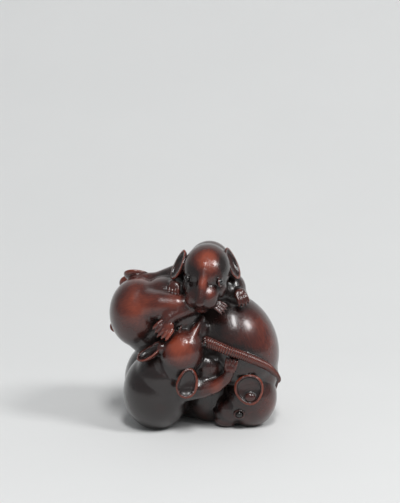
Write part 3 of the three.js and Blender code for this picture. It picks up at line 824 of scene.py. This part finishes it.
studio = {
    "paper": (0.805, 0.81, 0.805),
    "sweepWidth": 4,
    "sweepFront": -1.2,
    "sweepStart": 0.06,     # where the paper begins to rise
    "sweepRadius": 0.45,
    "sweepSteps": 24,
    "sweepTop": 2.0,
    "sky": (0.80, 0.82, 0.84),
    "skyStrength": 0.34,
    # direction to each light, distance, width, height and power
    "lights": {
        "overhead": ((0.05, -0.52, 0.82), 0.75, 0.11, 0.34, 2.7),
        "right": ((0.62, -0.35, 0.70), 0.80, 0.2, 0.2, 2.3),
    },
}


def makeSweep():
    # a strip of paper that lies flat and then curves up behind
    bm = bmesh.new()
    corner = bm.verts.new((-studio["sweepWidth"] / 2, studio["sweepFront"], 0))
    route = [(studio["sweepFront"], 0)]
    for k in range(studio["sweepSteps"] + 1):
        angle = math.pi / 2 * k / studio["sweepSteps"]
        route.append((studio["sweepStart"] + studio["sweepRadius"] * math.sin(angle),
                      studio["sweepRadius"] * (1 - math.cos(angle))))
    route.append((route[-1][0], studio["sweepTop"]))
    verts = [corner]
    for (y0, z0), (y1, z1) in zip(route, route[1:]):
        pulled = bmesh.ops.extrude_vert_indiv(bm, verts=[verts[-1]])["verts"][0]
        pulled.co += Vector((0, y1 - y0, z1 - z0))
        verts.append(pulled)
    wide = bmesh.ops.extrude_edge_only(bm, edges=bm.edges[:])["geom"]
    edge = [part for part in wide if isinstance(part, bmesh.types.BMVert)]
    bmesh.ops.translate(bm, vec=(studio["sweepWidth"], 0, 0), verts=edge)
    bmesh.ops.recalc_face_normals(bm, faces=bm.faces)
    sweep = objectOf(bm, "sweep")
    sweep.data.polygons.foreach_set("use_smooth", [True] * len(sweep.data.polygons))
    material, nodes, links, shader = newMaterial("paper")
    fibres = nodes.new("ShaderNodeTexNoise")
    fibres.inputs["Scale"].default_value = 30
    links.new(nodes.new("ShaderNodeTexCoord").outputs["Object"], fibres.inputs["Vector"])
    paper = studio["paper"]
    colour = rampNode(nodes, [(0.3, paper), (0.7, tuple(c * 1.012 for c in paper))])
    links.new(fibres.outputs["Fac"], colour.inputs["Fac"])
    links.new(colour.outputs["Color"], shader.inputs["Base Color"])
    shader.inputs["Roughness"].default_value = 0.8
    shader.inputs["Specular IOR Level"].default_value = 0.25
    sweep.data.materials.append(material)


def makeLights():
    world = bpy.data.worlds.new("studio")
    bpy.context.scene.world = world
    world.use_nodes = True
    background = world.node_tree.nodes["Background"]
    background.inputs["Color"].default_value = (*studio["sky"], 1)
    background.inputs["Strength"].default_value = studio["skyStrength"]
    aim = Vector((0, 0, 0.02))
    for name, (direction, distance, wide, high, power) in studio["lights"].items():
        lamp = bpy.data.lights.new(name, "AREA")
        lamp.shape = "RECTANGLE"
        lamp.size = wide
        lamp.size_y = high
        lamp.energy = power
        light = bpy.data.objects.new(name, lamp)
        bpy.context.scene.collection.objects.link(light)
        light.location = aim + Vector(direction).normalized() * distance
        light.rotation_euler = (aim - light.location).to_track_quat("-Z", "Y").to_euler()


view = {"elevation": 12, "distance": 0.46, "heightSeen": 0.1061, "right": 0.00096, "up": 0.03502}


def makeCamera():
    lens = bpy.data.cameras.new("camera")
    camera = bpy.data.objects.new("camera", lens)
    bpy.context.scene.collection.objects.link(camera)
    angle = math.radians(view["elevation"])
    look = Vector((0, math.cos(angle), -math.sin(angle)))
    aim = Vector((view["right"], 0, 0)) + Vector((0, math.sin(angle), math.cos(angle))) * view["up"]
    camera.location = aim - look * view["distance"]
    camera.rotation_euler = look.to_track_quat("-Z", "Y").to_euler()
    lens.sensor_width = 36
    lens.lens = lens.sensor_width * view["distance"] / view["heightSeen"]
    lens.clip_start = 0.01
    bpy.context.scene.camera = camera
    bpy.context.scene.view_settings.view_transform = "Standard"


seatEyes()
huddle, fineTree = makeHuddle()
thinned(huddle)
markWearAndShade(huddle, fineTree)
beads = [makeEye(seat, "bead_" + name) for name, seat in eyeSeats.items()]
placedInFrame([huddle, *beads])
huddle.data.materials.clear()
huddle.data.materials.append(makeBoxwood())
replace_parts(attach(huddle, "root"), "rat_huddle")
horn = makeHorn()
for bead, name in zip(beads, eyeSeats):
    bead.data.materials.append(horn)
    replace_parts(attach(bead, "root"), name)
print("beads set")
makeSweep()
makeLights()
makeCamera()
print("studio ready")
